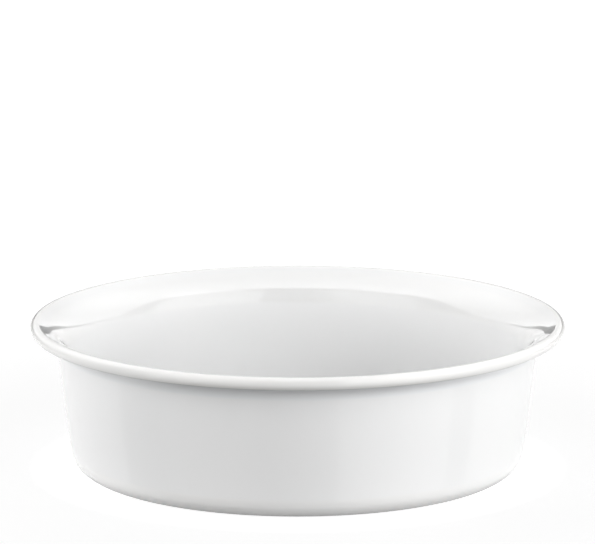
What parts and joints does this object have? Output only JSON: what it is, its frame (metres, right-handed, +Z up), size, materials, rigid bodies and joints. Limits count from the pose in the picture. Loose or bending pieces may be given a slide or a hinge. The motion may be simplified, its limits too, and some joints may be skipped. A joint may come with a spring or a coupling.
{
  "type": "gratin dish",
  "caption": "Round white porcelain gratin dish with a straight leaning wall, a flared rim with a thick rounded lip and a low foot ring.",
  "frame": {"origin": "centre of the foot ring, on the surface that the dish stands on", "axes": "+Z up along the dish's axis of turning; the dish is the same all round, so +X and +Y are any two level directions at right angles"},
  "size_m": [0.2799, 0.28, 0.079],
  "materials": {
    "white_porcelain": "clear gloss glaze, bare on the foot ring"
  },
  "bodies": {
    "root": {"dish": "white_porcelain"}
  },
  "joints": []
}
